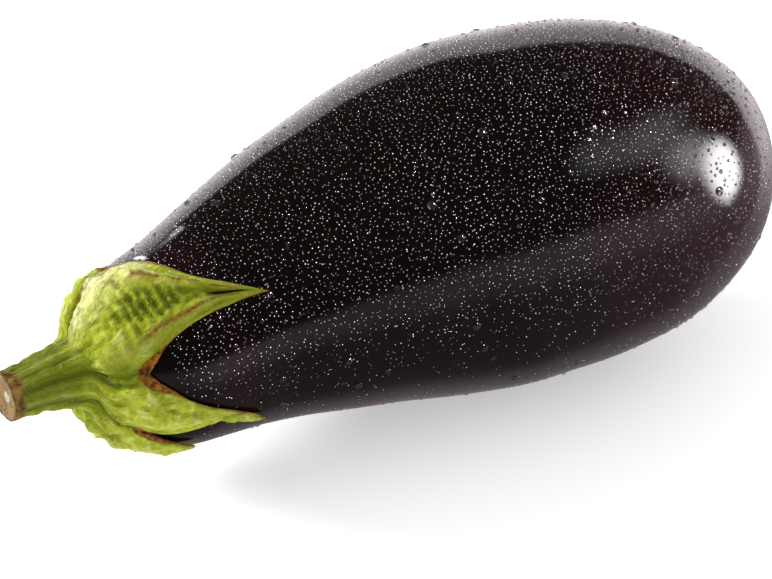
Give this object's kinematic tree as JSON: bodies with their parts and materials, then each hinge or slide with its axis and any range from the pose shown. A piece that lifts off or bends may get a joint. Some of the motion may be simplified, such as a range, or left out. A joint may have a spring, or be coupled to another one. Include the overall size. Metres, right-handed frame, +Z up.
{
  "type": "eggplant",
  "caption": "Glossy dark purple globe eggplant lying on its side, with a lobed green calyx and a short ridged cut stem.",
  "frame": {"origin": "centre of the bounding box at its bottom, on the table under the fruit", "axes": "+X from the stem to the blossom end, +Z up, -Y towards the side the fruit bows to"},
  "size_m": [0.2098, 0.0882, 0.0875],
  "materials": {
    "fruit_skin": "waxy glossy skin, near black purple",
    "calyx_green": "matt wrinkled leaf green with rust brown edges",
    "stem_green": "matt ridged green stalk with a dry brown cut end"
  },
  "bodies": {
    "root": {"fruit": "fruit_skin", "calyx": "calyx_green", "stem": "stem_green"}
  },
  "joints": []
}
